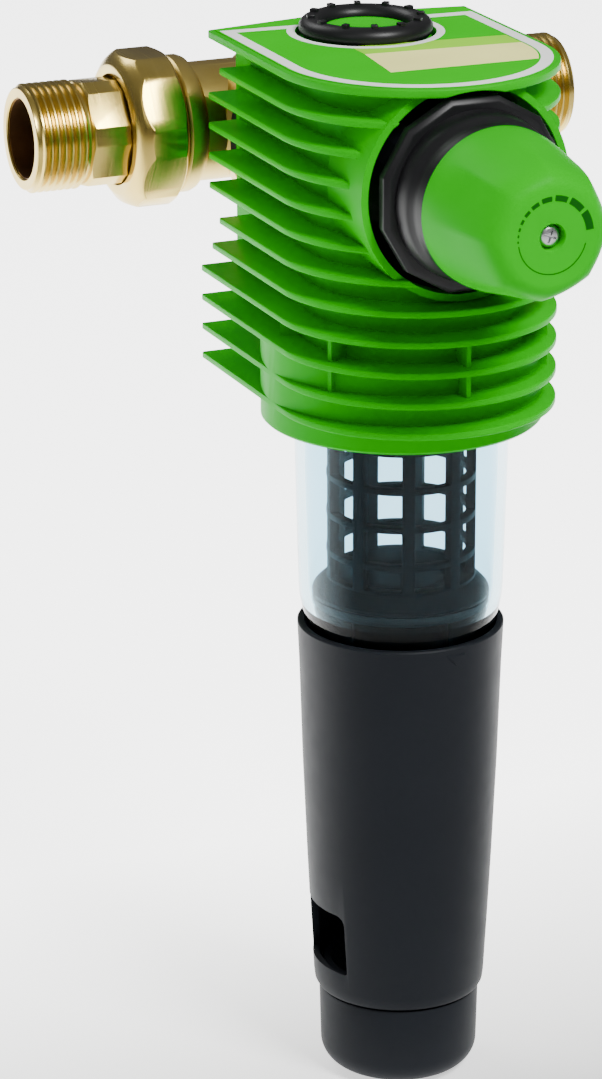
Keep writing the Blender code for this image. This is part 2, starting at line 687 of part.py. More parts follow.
def valve_disc(name, low, high, port_turn, shaft_r):
    """A ceramic disc with two ports and a hole in the middle."""
    at = (0, BOWL_Y, 0)
    disc = tube(name, 14.3, shaft_r, low, high, "Z", CERAMIC, at)
    ports = []
    for side in (0, math.pi):
        x, y, _ = to_world("Z", 10.0, port_turn + side, 0)
        ports.append(rod(2.9, low - 1, high + 1, "Z", (x, BOWL_Y + y, 0), 16))
    return smooth(combine(disc, ports, "DIFFERENCE"))


def bell():
    """The long black bell: turning it opens the drain. It has a window on each side."""
    at = (0, BOWL_Y, 0)
    inner = [(r - BELL_WALL, z) for r, z in reversed(BELL_PROFILE[1:])]
    inner[0] = (BELL_PROFILE[-1][0] - BELL_WALL + 0.6, BELL_PROFILE[-1][1])
    profile = list(BELL_PROFILE) + inner + [(29.6, BELL_PROFILE[0][1])]
    body = lathe("bell", profile, "Z", BLACK, at, closed=True)
    cuts = []
    for side in (0, math.pi):
        shape = bmesh.new()
        steps = 6
        low_ring, high_ring = [], []
        for radius in (20.0, 34.0):
            span = [side + math.radians(WINDOW_HALF_DEG) * (2 * i / steps - 1)
                    for i in range(steps + 1)]
            if radius == 34.0:
                span.reverse()
            for a in span:
                low_ring.append(shape.verts.new(to_world("Z", radius, a, WINDOW_LOW)))
                high_ring.append(shape.verts.new(to_world("Z", radius, a, WINDOW_TOP)))
        shape.faces.new(low_ring)
        shape.faces.new(high_ring)
        for i in range(len(low_ring)):
            j = (i + 1) % len(low_ring)
            shape.faces.new((low_ring[i], low_ring[j], high_ring[j], high_ring[i]))
        cuts.append(finish("window", shape, BLACK, at))
    return smooth(combine(body, cuts, "DIFFERENCE"))


def bell_web():
    """The disc inside the bell that joins it to the drive, with four holes for the water."""
    disc = tube("bell_web", 26.8, 5.3, WEB_LOW, WEB_TOP, "Z", BLACK, (0, BOWL_Y, 0))
    holes = []
    for i in range(4):
        x, y, _ = to_world("Z", 17.5, math.pi / 4 + i * math.pi / 2, 0)
        holes.append(rod(6.0, WEB_LOW - 3, WEB_TOP + 3, "Z", (x, BOWL_Y + y, 0), 16))
    return smooth(combine(disc, holes, "DIFFERENCE"))


def bell_drive():
    """The brass key between the bell's web and the disc spindle, and the screw that holds it."""
    at = (0, BOWL_Y, 0)
    stub = [(6.8, -200.8), (6.8, WEB_TOP + GAP), (5.0, WEB_TOP + GAP), (5.0, WEB_LOW + GAP),
            (2.2, WEB_LOW + GAP), (2.2, -200.8)]
    screw = [(1.9, -202.0), (1.9, WEB_LOW - GAP), (8.0, WEB_LOW - GAP), (8.0, WEB_LOW - 2.6)]
    return [
        smooth(lathe("bell_drive", stub, "Z", BRASS, at, 20, closed=True)),
        smooth(lathe("bell_screw", screw, "Z", STEEL, at, 16)),
    ]


def drain_foot():
    """The funnel below the bell, sized for a common drain pipe, with its outlet underneath."""
    profile = [(23.7, -256.0), (23.7, -264.6), (FOOT_R, -265.4), (24.9, -283.4), (23.6, -287.8),
               (20.8, -290.5), (17.0, FOOT_LOW), (9.0, FOOT_LOW), (9.0, -288.8),
               (18.5, -288.0), (22.2, -282.0), (21.6, -256.0)]
    return smooth(lathe("drain_foot", profile, "Z", BLACK, (0, BOWL_Y, 0), closed=True), 30)


def build():
    for obj in list(bpy.data.objects):
        bpy.data.objects.remove(obj, do_unlink=True)
    connection_flange()
    flange_gasket()
    flange_bolts()
    for name, side in (("inlet", -1), ("outlet", 1)):
        union_nut(f"{name}_union_nut", side)
        union_tail(f"{name}_union_tail", side)
        union_gasket(f"{name}_union_gasket", side)
    head_body()
    hood()
    top_label()
    month_ring()
    ring_hub()
    reducer_bonnet()
    adjusting_knob()
    knob_screw()
    adjusting_spindle()
    spring_plate()
    reducer_spring()
    reducer_internals()
    clear_cup()
    cup_nut()
    cup_seal()
    filter_cage()
    filter_parts()
    disc_spindle()
    drain_body()
    valve_disc("drain_seat_disc", -196.2, -192.7, 0.0, 6.3)
    valve_disc("drain_turning_disc", -200.4, -196.4, math.pi / 2, 6.3)
    bell()
    bell_web()
    bell_drive()
    drain_foot()
    for obj in bpy.data.objects:
        obj.data.transform(Matrix.Scale(MM, 4))
        obj.location *= MM


build()
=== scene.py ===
"""Looks of the backwash water filter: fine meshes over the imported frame, materials, light, camera.

Shapes are written in millimetres in the part's own frame: the origin is on the pipe axis, +X runs
along the pipe, +Y to the wall behind and +Z up. `place` turns them into metres.
"""

import math

import bmesh
import bpy
from mathutils import Matrix, Vector

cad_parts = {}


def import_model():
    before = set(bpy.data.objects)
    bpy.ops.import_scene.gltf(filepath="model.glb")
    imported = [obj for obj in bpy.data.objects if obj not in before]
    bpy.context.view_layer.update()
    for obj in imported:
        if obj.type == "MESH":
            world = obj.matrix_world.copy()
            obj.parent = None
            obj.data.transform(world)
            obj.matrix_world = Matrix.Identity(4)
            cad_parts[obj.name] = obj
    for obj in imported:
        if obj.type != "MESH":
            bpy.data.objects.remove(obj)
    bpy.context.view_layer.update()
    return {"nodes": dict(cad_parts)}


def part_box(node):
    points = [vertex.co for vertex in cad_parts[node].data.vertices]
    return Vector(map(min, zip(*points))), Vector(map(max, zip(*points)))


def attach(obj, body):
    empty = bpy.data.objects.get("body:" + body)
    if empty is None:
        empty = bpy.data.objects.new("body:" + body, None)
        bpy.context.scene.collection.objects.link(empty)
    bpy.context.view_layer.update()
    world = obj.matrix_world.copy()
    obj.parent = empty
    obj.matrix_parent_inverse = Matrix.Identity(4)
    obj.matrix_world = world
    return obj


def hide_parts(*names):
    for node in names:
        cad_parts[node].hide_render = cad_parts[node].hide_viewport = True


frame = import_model()

MM = 0.001
WELD = 0.002  # points nearer than this are one point

RING_LOW, RING_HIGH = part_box("month_ring")
BELL_LOW, BELL_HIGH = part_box("bell")
BOWL_Y = (BELL_LOW[1] + BELL_HIGH[1]) / 2 / MM
RING_Y = (RING_LOW[1] + RING_HIGH[1]) / 2 / MM
REDUCER_Z = 5.0
AXIS = (0.0, BOWL_Y, 0.0)
REDUCER = (0.0, BOWL_Y, REDUCER_Z)

# Hood
HALF = 43.0
NOSE_Y = BOWL_Y - 8.6
WALL_HALF = 33.0
WALL = 2.5
PLATE_TOP = 37.2
PLATE_THICK = 2.6
PLATE_REAR = -35.0
REAR_PEAK = 7.0
FIN_PITCH = 9.37
FIN_THICK = 2.1
WEB_ANGLES = (-200.0, -152.7, -90.8, -27.0)  # upright webs that join the ribs near the collar
FIN_REAR = (-44.0, -35.0, -35.0, -35.0, -35.0, -43.0, -37.0, -28.0, -28.0, -28.0, -28.0)
COLLAR_TOP = -48.6
COLLAR_LOW = -75.5
COLLAR_BORE = 37.4
HOLE_R = 31.2
BOSS_R = 33.4
BOSS_FRONT = 44.6
POCKET_R = 21.2
POCKET_FLOOR = 35.2
POCKET_BASE = 2.2  # thickness below the pocket's floor
FIN_BEVEL = 0.45
WEB_LENGTH = 8.2
WEB_HALF = 0.7

# Month ring
RING_Z = 38.9
RING_R = 16.8
RING_HALF_W = 3.6
RING_HALF_H = 3.3
RING_MARKS = 12

# Pipe side
NUT_BACK = 44.2
NUT_FACE = 61.0
NUT_CORNER_R = 24.9
CORNER_DEG = 20.0  # width of the small flat on each corner of a hexagon
PIPE_BORE = 12.6
TAIL_END = 91.45
TAIL_THREAD_R = 17.0
TAIL_HEX_R = 17.1
TAIL_HEX_LEAN = -7.0
THREAD_PITCH = 2.31
PORT_THREAD = 44.6  # where the thread of each port starts
PORT_TURNS = 2
DISC_R = 30.6
DISC_FRONT = -19.2
DISC_BACK = -9.4
HUB_R = 22.0
HUB_BACK = 17.0
BOLT_X = 14.0
BOLT_Z = 22.6

# Knob
KNOB_FACETS = 8
KNOB_SIDES = 128
KNOB_BACK = 65.4
KNOB_TIP = 101.3
DIAL_R = 10.6

# Cup, cage and bell
CAGE_R = 23.0
CAGE_WALL = 3.0
CAGE_TOP = -80.5
CAGE_LOW = -126.9
CAGE_COLUMNS = 9
CAGE_TURN = math.radians(-8.6)
ROW_TOP = -82.6
ROW_FLOOR = -126.0
ROW_PITCH = 12.2
ROW_OPEN = 10.2
CAGE_ROWS = 4
BELL_WALL = 2.2
WINDOW_TOP = -234.0
WINDOW_LOW = -254.0
WINDOW_HALF = 13.3
FLOOR_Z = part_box("drain_foot")[0][2]

# The floor's glow, which grows from none to full between two distances, in metres
GLOW = 4.0
GLOW_FROM = -0.16
GLOW_FULL = 0.10

# Camera, in metres and millimetres of lens
CAMERA_AT = (-0.5356, -1.2595, 0.3340)
CAMERA_YAW = math.radians(-23.53)
CAMERA_PITCH = math.radians(18.49)
CAMERA_LENS = 148.2
CAMERA_SHIFT = (-0.0273, -0.0534)


# ---------------------------------------------------------------- mesh helpers

def to_world(axis, radius, angle, along):
    """A point at this radius and angle round an axis, this far along it."""
    a = radius * math.cos(angle)
    b = radius * math.sin(angle)
    return {"X": (along, a, b), "Y": (b, along, a), "Z": (a, b, along)}[axis]


def object_from(name, shape, origin=(0, 0, 0)):
    """An object in millimetres from a bmesh about `origin`, faces turned outward."""
    bmesh.ops.recalc_face_normals(shape, faces=shape.faces)
    bmesh.ops.translate(shape, verts=shape.verts, vec=Vector(origin))
    mesh = bpy.data.meshes.new(name)
    shape.to_mesh(mesh)
    shape.free()
    obj = bpy.data.objects.new(name, mesh)
    bpy.context.scene.collection.objects.link(obj)
    return obj


def lathe(name, profile, axis, origin=(0, 0, 0), sides=96, closed=False):
    """A solid of revolution from (radius, along) points."""
    points = list(profile)
    if not closed:
        if points[0][0] > 0:
            points.insert(0, (0.0, points[0][1]))
        if points[-1][0] > 0:
            points.append((0.0, points[-1][1]))
    shape = bmesh.new()
    rings = []
    for radius, along in points:
        if radius == 0:
            rings.append([shape.verts.new(to_world(axis, 0, 0, along))])
            continue
        angles = [math.tau * i / sides for i in range(sides)]
        rings.append([shape.verts.new(to_world(axis, radius, a, along)) for a in angles])
    pairs = list(zip(rings, rings[1:]))
    if closed:
        pairs.append((rings[-1], rings[0]))
    for low, high in pairs:
        for i in range(sides):
            corners = [low[i % len(low)], low[(i + 1) % len(low)],
                       high[(i + 1) % len(high)], high[i % len(high)]]
            unique = list(dict.fromkeys(corners))
            if len(unique) > 2:
                shape.faces.new(unique)
    return object_from(name, shape, origin)


def stack(name, outlines, origin=(0, 0, 0)):
    """A solid through a stack of outlines that have the same number of points."""
    shape = bmesh.new()
    loops = [[shape.verts.new(point) for point in outline] for outline in outlines]
    shape.faces.new(loops[0])
    shape.faces.new(loops[-1])
    for near, far in zip(loops, loops[1:]):
        for i in range(len(near)):
            j = (i + 1) % len(near)
            shape.faces.new((near[i], near[j], far[j], far[i]))
    return object_from(name, shape, origin)


def prism(name, outline, low, high, origin=(0, 0, 0)):
    """An upright block with this outline."""
    return stack(name, [[(x, y, z) for x, y in outline] for z in (low, high)], origin)


def box(name, low, high):
    """A block between two corners."""
    outline = [(low[0], low[1]), (high[0], low[1]), (high[0], high[1]), (low[0], high[1])]
    return prism(name, outline, low[2], high[2])


def rod(radius, low, high, axis, origin=(0, 0, 0), sides=96):
    """A helper cylinder for a cut or a union."""
    return lathe("helper", [(radius, low), (radius, high)], axis, origin, sides)


def combine(target, others, operation):
    """Unites `target` with the others, or cuts them from it, and removes them."""
    for other in others:
        modifier = target.modifiers.new("combine", "BOOLEAN")
        modifier.operation = operation
        modifier.solver = "EXACT"
        modifier.object = other
        apply_modifiers(target)
        bpy.data.objects.remove(other, do_unlink=True)
    shape = bmesh.new()
    shape.from_mesh(target.data)
    bmesh.ops.remove_doubles(shape, verts=shape.verts, dist=WELD)
    bmesh.ops.dissolve_degenerate(shape, edges=shape.edges, dist=WELD)
    shape.to_mesh(target.data)
    shape.free()
    return target


def apply_modifiers(obj):
    """Replaces an object's mesh by what its modifiers make of it."""
    bpy.context.view_layer.update()
    graph = bpy.context.evaluated_depsgraph_get()
    mesh = bpy.data.meshes.new_from_object(obj.evaluated_get(graph))
    obj.modifiers.clear()
    obj.data = mesh


def bevel(obj, width, degrees=40, segments=2):
    """Rounds the edges that are sharper than this angle."""
    modifier = obj.modifiers.new("edges", "BEVEL")
    modifier.width = width
    modifier.segments = segments
    modifier.limit_method = "ANGLE"
    modifier.angle_limit = math.radians(degrees)
    modifier.use_clamp_overlap = True
    modifier.miter_outer = "MITER_ARC"
    apply_modifiers(obj)
    return obj


def place(obj, body, skin, slot, *nodes, sharp=38):
    """Turns a piece in millimetres into a finished piece: scale, shading, material, body, nodes."""
    obj.data.transform(obj.matrix_world @ Matrix.Scale(MM, 4))
    obj.matrix_world = Matrix.Identity(4)
    obj.data.materials.clear()
    obj.data.materials.append(skin)
    for face in obj.data.polygons:
        face.material_index = 0
    obj.data.shade_smooth()
    obj.data.set_sharp_from_angle(angle=math.radians(sharp))
    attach(obj, body)
    if nodes:
        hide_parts(*nodes)
    return obj


def u_outline(half, nose_y, rear_left, peak, steps=64, rear_right=None):
    """A U in plan: round at the front, straight sides, and a peaked rear edge."""
    points = []
    for i in range(steps + 1):
        angle = math.pi + math.pi * i / steps
        points.append((half * math.cos(angle), nose_y + half * math.sin(angle)))
    rear_right = rear_left if rear_right is None else rear_right
    points.append((half, rear_right))
    if peak:
        points.append((0.0, (rear_left + rear_right) / 2 + peak))
    points.append((-half, rear_left))
    return points


def arc(centre, radius, start, end, steps=6):
    """Points on a circle, from one angle in degrees to another."""
    points = []
    for i in range(steps + 1):
        angle = math.radians(start + (end - start) * i / steps)
        points.append((centre[0] + radius * math.cos(angle), centre[1] + radius * math.sin(angle)))
    return points


# ---------------------------------------------------------------- materials

class Nodes:
    """A material under construction, with short calls for its nodes."""

    def __init__(self, name):
        self.material = bpy.data.materials.new(name)
        self.material.use_nodes = True
        self.tree = self.material.node_tree
        self.shader = self.tree.nodes["Principled BSDF"]
        self.coord = self.tree.nodes.new("ShaderNodeTexCoord")

    def link(self, output, socket):
        self.tree.links.new(output, socket)

    def set(self, **values):
        for name, value in values.items():
            self.shader.inputs[name.replace("_", " ")].default_value = value

    def noise(self, scale, detail=3.0, stretch=(1, 1, 1)):
        mapping = self.tree.nodes.new("ShaderNodeMapping")
        mapping.inputs["Scale"].default_value = stretch
        self.link(self.coord.outputs["Object"], mapping.inputs["Vector"])
        made = self.tree.nodes.new("ShaderNodeTexNoise")
        made.inputs["Scale"].default_value = scale
        made.inputs["Detail"].default_value = detail
        self.link(mapping.outputs["Vector"], made.inputs["Vector"])
        return made.outputs["Fac"]

    def ramp(self, value, stops):
        made = self.tree.nodes.new("ShaderNodeValToRGB")
        ramp = made.color_ramp
        for i, (at, colour) in enumerate(stops):
            stop = ramp.elements[i] if i < 2 else ramp.elements.new(at)
            stop.position = at
            stop.color = (*colour, 1.0)
        self.link(value, made.inputs["Fac"])
        return made.outputs["Color"]

    def span(self, value, low, high):
        made = self.tree.nodes.new("ShaderNodeMapRange")
        made.inputs["To Min"].default_value = low
        made.inputs["To Max"].default_value = high
        self.link(value, made.inputs["Value"])
        return made.outputs["Result"]

    def bump(self, height, strength, distance):
        made = self.tree.nodes.new("ShaderNodeBump")
        made.inputs["Strength"].default_value = strength
        made.inputs["Distance"].default_value = distance
        self.link(height, made.inputs["Height"])
        self.link(made.outputs["Normal"], self.shader.inputs["Normal"])

    def colour(self, output):
        self.link(output, self.shader.inputs["Base Color"])

    def roughness(self, output):
        self.link(output, self.shader.inputs["Roughness"])


def tint(colour, factor):
    return tuple(channel * factor for channel in colour)


def moulded(name, colour, rough, grain=2600.0, grain_depth=0.00003, gloss=0.3):
    """Moulded plastic: faint flow marks in the colour and a fine grain."""
    made = Nodes(name)
    flow = made.noise(28.0, 2.0)
    made.colour(made.ramp(flow, ((0.3, tint(colour, 0.93)), (0.7, tint(colour, 1.05)))))
    made.roughness(made.span(made.noise(160.0), rough - 0.05, rough + 0.06))
    made.bump(made.noise(grain, 2.0), 0.08, grain_depth)
    made.set(Specular_IOR_Level=gloss)
    return made.material


def turned_brass(name, stretch, rough):
    """Brass with fine tool lines round its axis and slight warm and pale patches."""
    made = Nodes(name)
    patch = made.noise(45.0)
    colours = ((0.3, (0.58, 0.42, 0.10)), (0.55, (0.68, 0.51, 0.14)), (0.8, (0.76, 0.59, 0.20)))
    made.colour(made.ramp(patch, colours))
    lines = made.noise(1400.0, 2.0, stretch)
    made.roughness(made.span(lines, rough - 0.07, rough + 0.08))
    made.bump(lines, 0.10, 0.00002)
    made.set(Metallic=1.0)
    return made.material


def bore_shade_brass(name):
    """Painted shade for the inside of the pipe: a dull dark brown brass that stands in for the shade in
    the bore.
    """
    made = Nodes(name)
    made.colour(made.ramp(made.noise(90.0), ((0.3, (0.10, 0.045, 0.014)), (0.7, (0.20, 0.10, 0.035)))))
    made.roughness(made.span(made.noise(300.0), 0.35, 0.55))
    made.set(Metallic=0.85)
    return made.material


def brushed_steel(name):
    """Zinc-plated steel with fine wear."""
    made = Nodes(name)
    made.colour(made.ramp(made.noise(220.0), ((0.3, (0.50, 0.50, 0.52)), (0.7, (0.66, 0.66, 0.68)))))
    made.roughness(made.span(made.noise(900.0), 0.22, 0.40))
    made.bump(made.noise(2400.0), 0.15, 0.00002)
    made.set(Metallic=1.0)
    return made.material


def moulded_rubber(name):
    """Dull black rubber with a dusty variation."""
    made = Nodes(name)
    made.colour(made.ramp(made.noise(60.0), ((0.3, (0.010, 0.010, 0.011)), (0.7, (0.022, 0.022, 0.023)))))
    made.roughness(made.span(made.noise(400.0), 0.55, 0.75))
    made.bump(made.noise(1800.0), 0.2, 0.00003)
    return made.material


def clear_plastic(name):
    """Clear moulded cup with a faint blue tint and very slight flow waves."""
    made = Nodes(name)
    made.colour(made.ramp(made.noise(20.0, 1.0), ((0.3, (0.50, 0.74, 0.84)), (0.7, (0.58, 0.80, 0.89)))))
    made.roughness(made.span(made.noise(120.0), 0.0, 0.012))
    made.bump(made.noise(35.0, 1.0), 0.02, 0.0002)
    made.set(Transmission_Weight=1.0, IOR=1.22, Specular_IOR_Level=0.3)
    return made.material


def wire_mesh(name):
    """Woven steel mesh: fine crossing wires with open gaps."""
    made = Nodes(name)
    waves = []
    for direction in ("X", "Z"):
        wave = made.tree.nodes.new("ShaderNodeTexWave")
        wave.wave_type = "BANDS"
        wave.bands_direction = direction
        wave.inputs["Scale"].default_value = 900.0
        made.link(made.coord.outputs["Object"], wave.inputs["Vector"])
        waves.append(wave.outputs["Fac"])
    top = made.tree.nodes.new("ShaderNodeMath")
    top.operation = "MAXIMUM"
    made.link(waves[0], top.inputs[0])
    made.link(waves[1], top.inputs[1])
    made.link(made.span(top.outputs["Value"], 0.01, 0.05), made.shader.inputs["Alpha"])
    made.colour(made.ramp(waves[0], ((0.2, (0.55, 0.57, 0.60)), (0.8, (0.75, 0.77, 0.80)))))
    made.set(Metallic=0.6, Roughness=0.4)
    return made.material


def ceramic_white(name):
    """Lapped ceramic."""
    made = Nodes(name)
    made.colour(made.ramp(made.noise(150.0), ((0.3, (0.78, 0.78, 0.75)), (0.7, (0.86, 0.86, 0.84)))))
    made.roughness(made.span(made.noise(500.0), 0.12, 0.22))
    return made.material


GREEN = moulded("green_plastic", (0.004, 0.46, 0.0), 0.42, gloss=0.05)
LABEL_GREEN = moulded("label_green", (0.006, 0.52, 0.0), 0.60, grain=900.0, gloss=0.0)
LABEL_WHITE = moulded("label_white", (0.95, 0.97, 0.93), 0.55, grain=900.0, gloss=0.0)
LABEL_PALE = moulded("label_pale_green", (0.30, 0.75, 0.03), 0.55, grain=900.0, gloss=0.0)
LABEL_CREAM = moulded("label_cream", (0.98, 0.97, 0.34), 0.55, grain=900.0, gloss=0.0)
DIAL_INK = moulded("dial_ink", (0.002, 0.09, 0.001), 0.5, gloss=0.1)
BLACK = moulded("black_plastic", (0.010, 0.012, 0.016), 0.50, grain=1800.0, gloss=0.12)
REDUCER_BLACK = moulded("reducer_plastic", (0.007, 0.007, 0.008), 0.40, grain=1800.0)
CAGE_BLACK = moulded("cage_plastic", (0.004, 0.007, 0.009), 0.50, gloss=0.08)
BRASS_X = turned_brass("brass_turned", (1.0, 0.02, 0.02), 0.24)
BRASS_CAST = turned_brass("brass_blasted", (1.0, 1.0, 1.0), 0.33)
# painted shade: the dark brown that stands in for the shade inside the pipe bores
BORE_SHADE = bore_shade_brass("brass_bore_painted_shade")
STEEL = brushed_steel("zinc_steel")
RUBBER = moulded_rubber("seal_rubber")
CLEAR = clear_plastic("clear_cup_plastic")
MESH = wire_mesh("woven_mesh")
CERAMIC = ceramic_white("disc_ceramic")


# ---------------------------------------------------------------- pieces

def hood():
    """The green shell: top plate, ribs, inner wall, boss round the reducer, and collar."""
    low = PLATE_TOP - PLATE_THICK
    body = prism("hood_shell", u_outline(HALF, NOSE_Y, PLATE_REAR, REAR_PEAK), low, PLATE_TOP)
    parts = [prism("wall", u_outline(WALL_HALF, NOSE_Y, -33.0, 0.0), COLLAR_TOP, PLATE_TOP - 1.0)]
    for i, rear in enumerate(FIN_REAR):
        base = low - FIN_PITCH * (i + 1)
        outline = u_outline(HALF, NOSE_Y, rear, 0.0)
        parts.append(bevel(prism("fin", outline, base, base + FIN_THICK), FIN_BEVEL, 60, 3))
    parts.append(lathe("collar", [(HALF, COLLAR_TOP), (HALF, COLLAR_LOW + 0.8),
                                  (HALF - 0.8, COLLAR_LOW)], "Z", AXIS))
    parts.append(rod(POCKET_R + 2.0, POCKET_FLOOR - POCKET_BASE, PLATE_TOP - 1, "Z", (0, RING_Y, 0)))
    parts.append(rod(BOSS_R, -BOSS_FRONT, -20.0, "Y", REDUCER))
    web_low, web_high = (low - FIN_PITCH * rib + 1 for rib in (10, 8))
    for angle in WEB_ANGLES:
        web = box("web", (0, -WEB_HALF, web_low), (WEB_LENGTH, WEB_HALF, web_high))
        web.matrix_world = (Matrix.Translation((0, NOSE_Y, 0))
                            @ Matrix.Rotation(math.radians(angle), 4, "Z")
                            @ Matrix.Translation((WALL_HALF - 1.0, 0, 0)))
        parts.append(web)
    combine(bevel(body, 0.5, 60, 3), parts, "UNION")
    inner = WALL_HALF - WALL
    cuts = [
        prism("hollow", u_outline(inner, NOSE_Y, -10.0, 0.0), COLLAR_TOP - 5, POCKET_FLOOR - POCKET_BASE),
        rod(COLLAR_BORE, COLLAR_LOW - 1, COLLAR_TOP - 3.5, "Z", AXIS, sides=100),
        rod(POCKET_R, POCKET_FLOOR, PLATE_TOP + 1, "Z", (0, RING_Y, 0)),
        rod(HOLE_R, -60.0, 0.0, "Y", REDUCER),
        box("above", (-60, BOWL_Y - 60, PLATE_TOP), (60, 0, PLATE_TOP + 10)),
    ]
    combine(body, cuts, "DIFFERENCE")
    place(body, "housing", GREEN, "green_plastic", "hood", sharp=35)


def label():
    """The printed sheet: green ground, a white outline, a pale green and a cream stripe."""
    low = PLATE_TOP + 0.03
    ground = prism("label_ground", u_outline(HALF - 1.6, NOSE_Y, PLATE_REAR - 1.2, REAR_PEAK - 1),
                   low, PLATE_TOP + 0.20)
    combine(ground, [rod(POCKET_R + 0.3, 30, 50, "Z", (0, RING_Y, 0))], "DIFFERENCE")
    place(ground, "housing", LABEL_GREEN, "label_print", "top_label")

    def outline(inset, ring_gap, bottom, top):
        shape = prism("label_outline", u_outline(HALF - inset, NOSE_Y, -37.0 - inset, 0.0,
                                                 rear_right=-42.0 - inset), bottom, top)
        return combine(shape, [rod(POCKET_R + ring_gap, 30, 50, "Z", (0, RING_Y, 0))], "DIFFERENCE")

    white = outline(2.2, 0.3, PLATE_TOP + 0.10, PLATE_TOP + 0.28)
    combine(white, [outline(6.0, 2.8, PLATE_TOP - 1, PLATE_TOP + 1)], "DIFFERENCE")
    place(white, "housing", LABEL_WHITE, "label_print")

    field = 6.6  # the stripes stop short of the white outline
    stripes = (
        ("label_stripe_pale", LABEL_PALE, ((-13.1, 9.4), (60.0, 3.7), (60.0, -7.1), (-13.1, -1.2))),
        ("label_stripe_cream", LABEL_CREAM,
         ((-13.1, -1.2), (60.0, -7.1), (60.0, -27.0), (-15.6, -25.5))),
    )
    for name, skin, corners in stripes:
        stripe = prism(name, [(x, BOWL_Y + y) for x, y in corners],
                       PLATE_TOP + 0.12, PLATE_TOP + 0.26)
        limit = prism("limit", u_outline(HALF - field, NOSE_Y, -40.0, 0.0),
                      PLATE_TOP - 2, PLATE_TOP + 2)
        combine(stripe, [limit], "INTERSECT")
        place(stripe, "housing", skin, "label_print")


def month_ring():
    """The black reminder ring, with a raised mark for each month."""
    steps = 28
    profile = []
    for i in range(steps):
        angle = math.tau * i / steps
        profile.append((RING_R + RING_HALF_W * math.cos(angle), RING_HALF_H * math.sin(angle)))
    ring = lathe("month_ring_moulding", profile, "Z", (0, RING_Y, RING_Z), closed=True)
    marks = []
    for i in range(RING_MARKS):
        mark = bevel(box("mark", (RING_R - 1.2, -1.0, 1.0), (RING_R + 1.2, 1.0, RING_HALF_H + 0.8)),
                     0.3, 40, 3)
        turn = Matrix.Rotation(math.tau * (i + 0.5) / RING_MARKS, 4, "Z")
        mark.matrix_world = Matrix.Translation((0, RING_Y, RING_Z)) @ turn
        marks.append(mark)
    combine(ring, marks, "UNION")
    place(ring, "month_ring", REDUCER_BLACK, "black_plastic", "month_ring")


def ring_hub():
    """The green hub inside the month ring, hollowed from above."""
    profile = [(12.7, POCKET_FLOOR + 0.3), (12.7, 38.6), (12.5, 39.0), (12.1, 39.1), (11.4, 38.9),
               (10.0, 38.1), (8.0, 37.4), (4.0, 37.0)]
    hub = lathe("ring_hub_moulding", profile, "Z", (0, RING_Y, 0))
    place(hub, "housing", GREEN, "green_plastic", "ring_hub")


def forward(points):
    """(radius, distance ahead of the bowl axis) points, as points along Y about that axis."""
    return [(radius, -ahead) for radius, ahead in points]


def reducer_bonnet():
    """The black spring housing: a twelve-sided base and a round neck."""
    angles = [math.radians(15 + 30 * i) for i in range(12)]
    base = [[to_world("Y", radius, angle, -ahead) for angle in angles]
            for radius, ahead in ((29.8, 46.6), (29.8, 49.8), (28.2, 51.0))]
    body = bevel(stack("reducer_bonnet_moulding", base, REDUCER), 0.4, 20, 3)
    neck = forward([(25.6, 49.0), (25.6, 52.0), (25.2, 56.0), (24.6, 57.4), (23.6, 58.6),
                    (23.2, 60.2), (23.2, 64.4), (22.8, 65.0)])
    combine(body, [lathe("neck", neck, "Y", REDUCER)], "UNION")
    cuts = [rod(20.0, -62.5, -40.0, "Y", REDUCER), rod(3.7, -70.0, -55.0, "Y", REDUCER, 48)]
    combine(body, cuts, "DIFFERENCE")
    place(body, "housing", REDUCER_BLACK, "black_plastic", "reducer_bonnet")


def facet_radius(angle, radius, share):
    """A radius between a circle and an octagon that touches it at the corners."""
    sector = math.tau / KNOB_FACETS
    offset = (angle + sector / 2) % sector - sector / 2
    flat = radius * math.cos(sector / 2) / math.cos(sector / 2 - abs(offset))
    return radius + (flat - radius) * share


def adjusting_knob():
    """The green pressure knob: round at its base, with soft facets that grow towards the tip."""
    rings = [(23.6, KNOB_BACK, 0.0), (24.1, 65.9, 0.0), (24.1, 68.5, 0.0), (23.8, 72.0, 0.05),
             (23.3, 76.0, 0.20), (22.6, 81.0, 0.42), (21.9, 86.5, 0.58), (21.1, 91.0, 0.65),
             (20.3, 94.5, 0.62), (19.2, 97.3, 0.52), (17.8, 99.3, 0.36), (16.2, 100.6, 0.18),
             (14.6, 101.2, 0.05), (13.6, KNOB_TIP, 0.0)]
    angles = [math.tau * i / KNOB_SIDES for i in range(KNOB_SIDES)]
    outlines = [[to_world("Y", facet_radius(angle, radius, share), angle, -ahead)
                 for angle in angles] for radius, ahead, share in rings]
    knob = stack("adjusting_knob_moulding", outlines, REDUCER)
    bore = [(20.5, -60.0), (20.5, -70.0), (3.5, -70.0), (3.5, -90.2), (2.2, -90.2), (2.2, -97.6),
            (3.9, -97.6), (3.9, -101.0), (4.3, -101.5), (4.3, -105.0)]
    combine(knob, [lathe("bore", bore, "Y", REDUCER, 64)], "DIFFERENCE")
    place(knob, "knob", GREEN, "green_plastic", "adjusting_knob", sharp=40)


